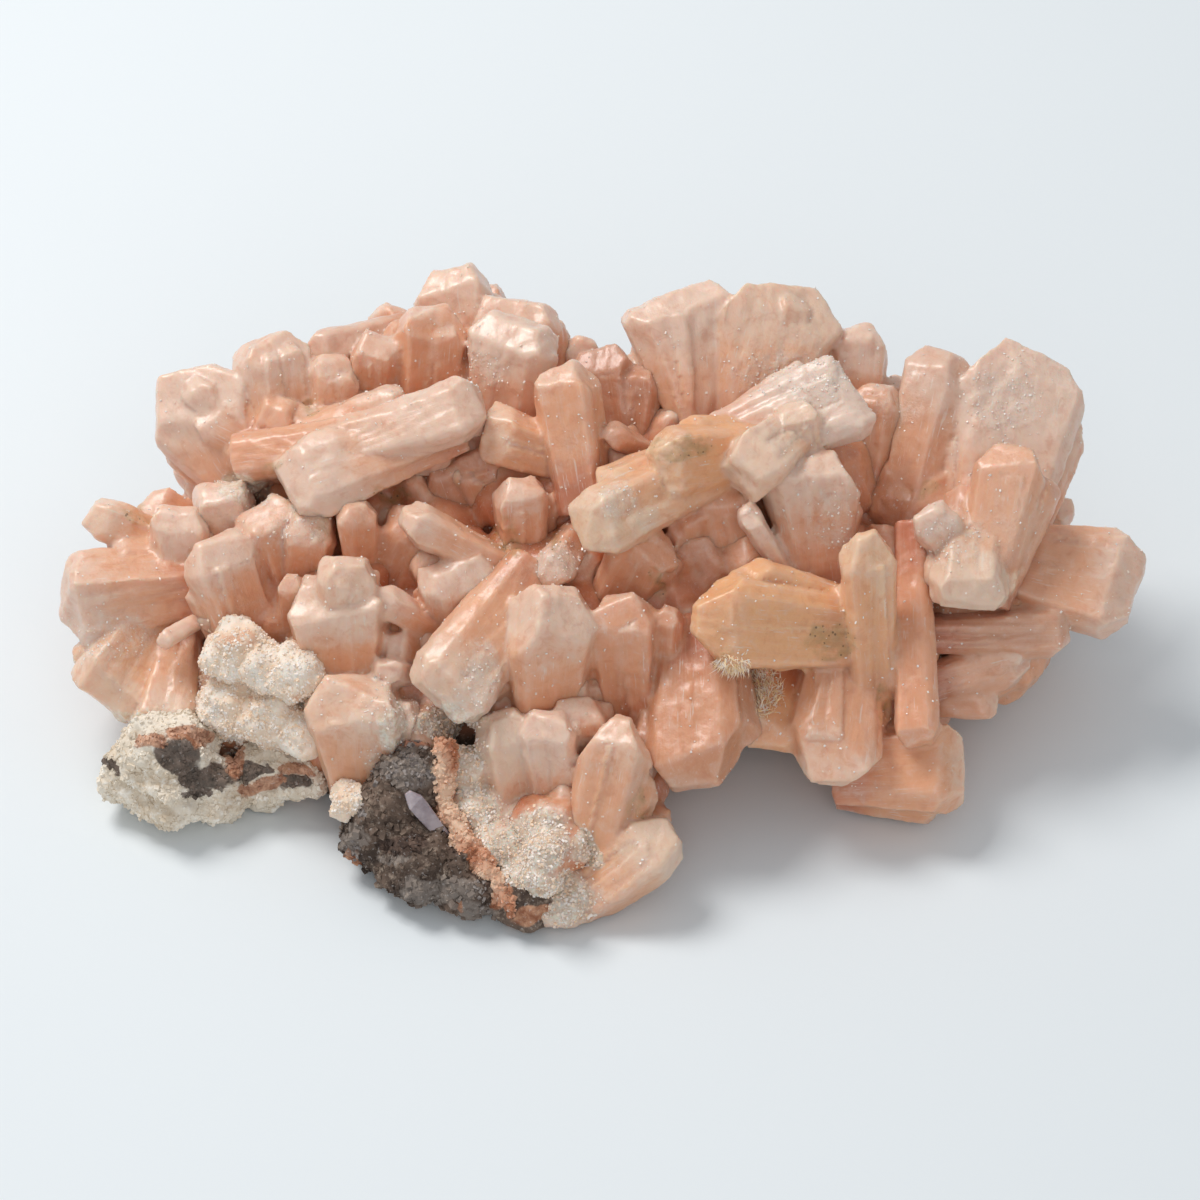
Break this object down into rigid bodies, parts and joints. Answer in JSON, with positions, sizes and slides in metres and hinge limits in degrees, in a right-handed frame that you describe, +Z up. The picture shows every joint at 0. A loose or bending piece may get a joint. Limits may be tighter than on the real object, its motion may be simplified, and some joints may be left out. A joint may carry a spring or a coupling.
{
  "type": "stilbite cluster",
  "caption": "Stilbite mineral specimen: sheaves of blunt salmon-pink crystals with pale tips covering a dark basalt stone.",
  "frame": {"origin": "point on the flat resting face under the middle of the stone", "axes": "+X along the length of the specimen, to the right in the picture; +Y to the back; +Z up"},
  "size_m": [0.1817, 0.1135, 0.0602],
  "materials": {
    "stilbite": "pearly",
    "pale_stilbite": "pearly",
    "white_druse": "granular",
    "basalt": "rough",
    "pale_rock": "rough",
    "rind": "rough",
    "vug_crystal": "glossy"
  },
  "bodies": {
    "root": {"basalt_matrix": "basalt", "vug_prism": "vug_crystal", "pale_rock": "pale_rock", "pink_rind": "rind", "druse_ball": "white_druse", "white_druse": "white_druse", "diagonal_sheaf": "stilbite", "left_rear_sheaf": "pale_stilbite", "front_sheaf": "stilbite", "front_tip_sheaf": "stilbite", "hanging_sheaf": "stilbite", "right_sheaf": "pale_stilbite", "right_low_sheaf": "pale_stilbite", "rear_right_sheaf": "pale_stilbite", "centre_rear_sheaf": "stilbite", "crest_sheaf": "stilbite", "centre_left_sheaf": "stilbite", "left_middle_sheaf": "stilbite", "left_sheaf": "pale_stilbite", "hidden_rear_left_sheaf": "stilbite", "hidden_rear_right_sheaf": "stilbite", "hidden_right_end_sheaf": "stilbite"}
  },
  "joints": []
}
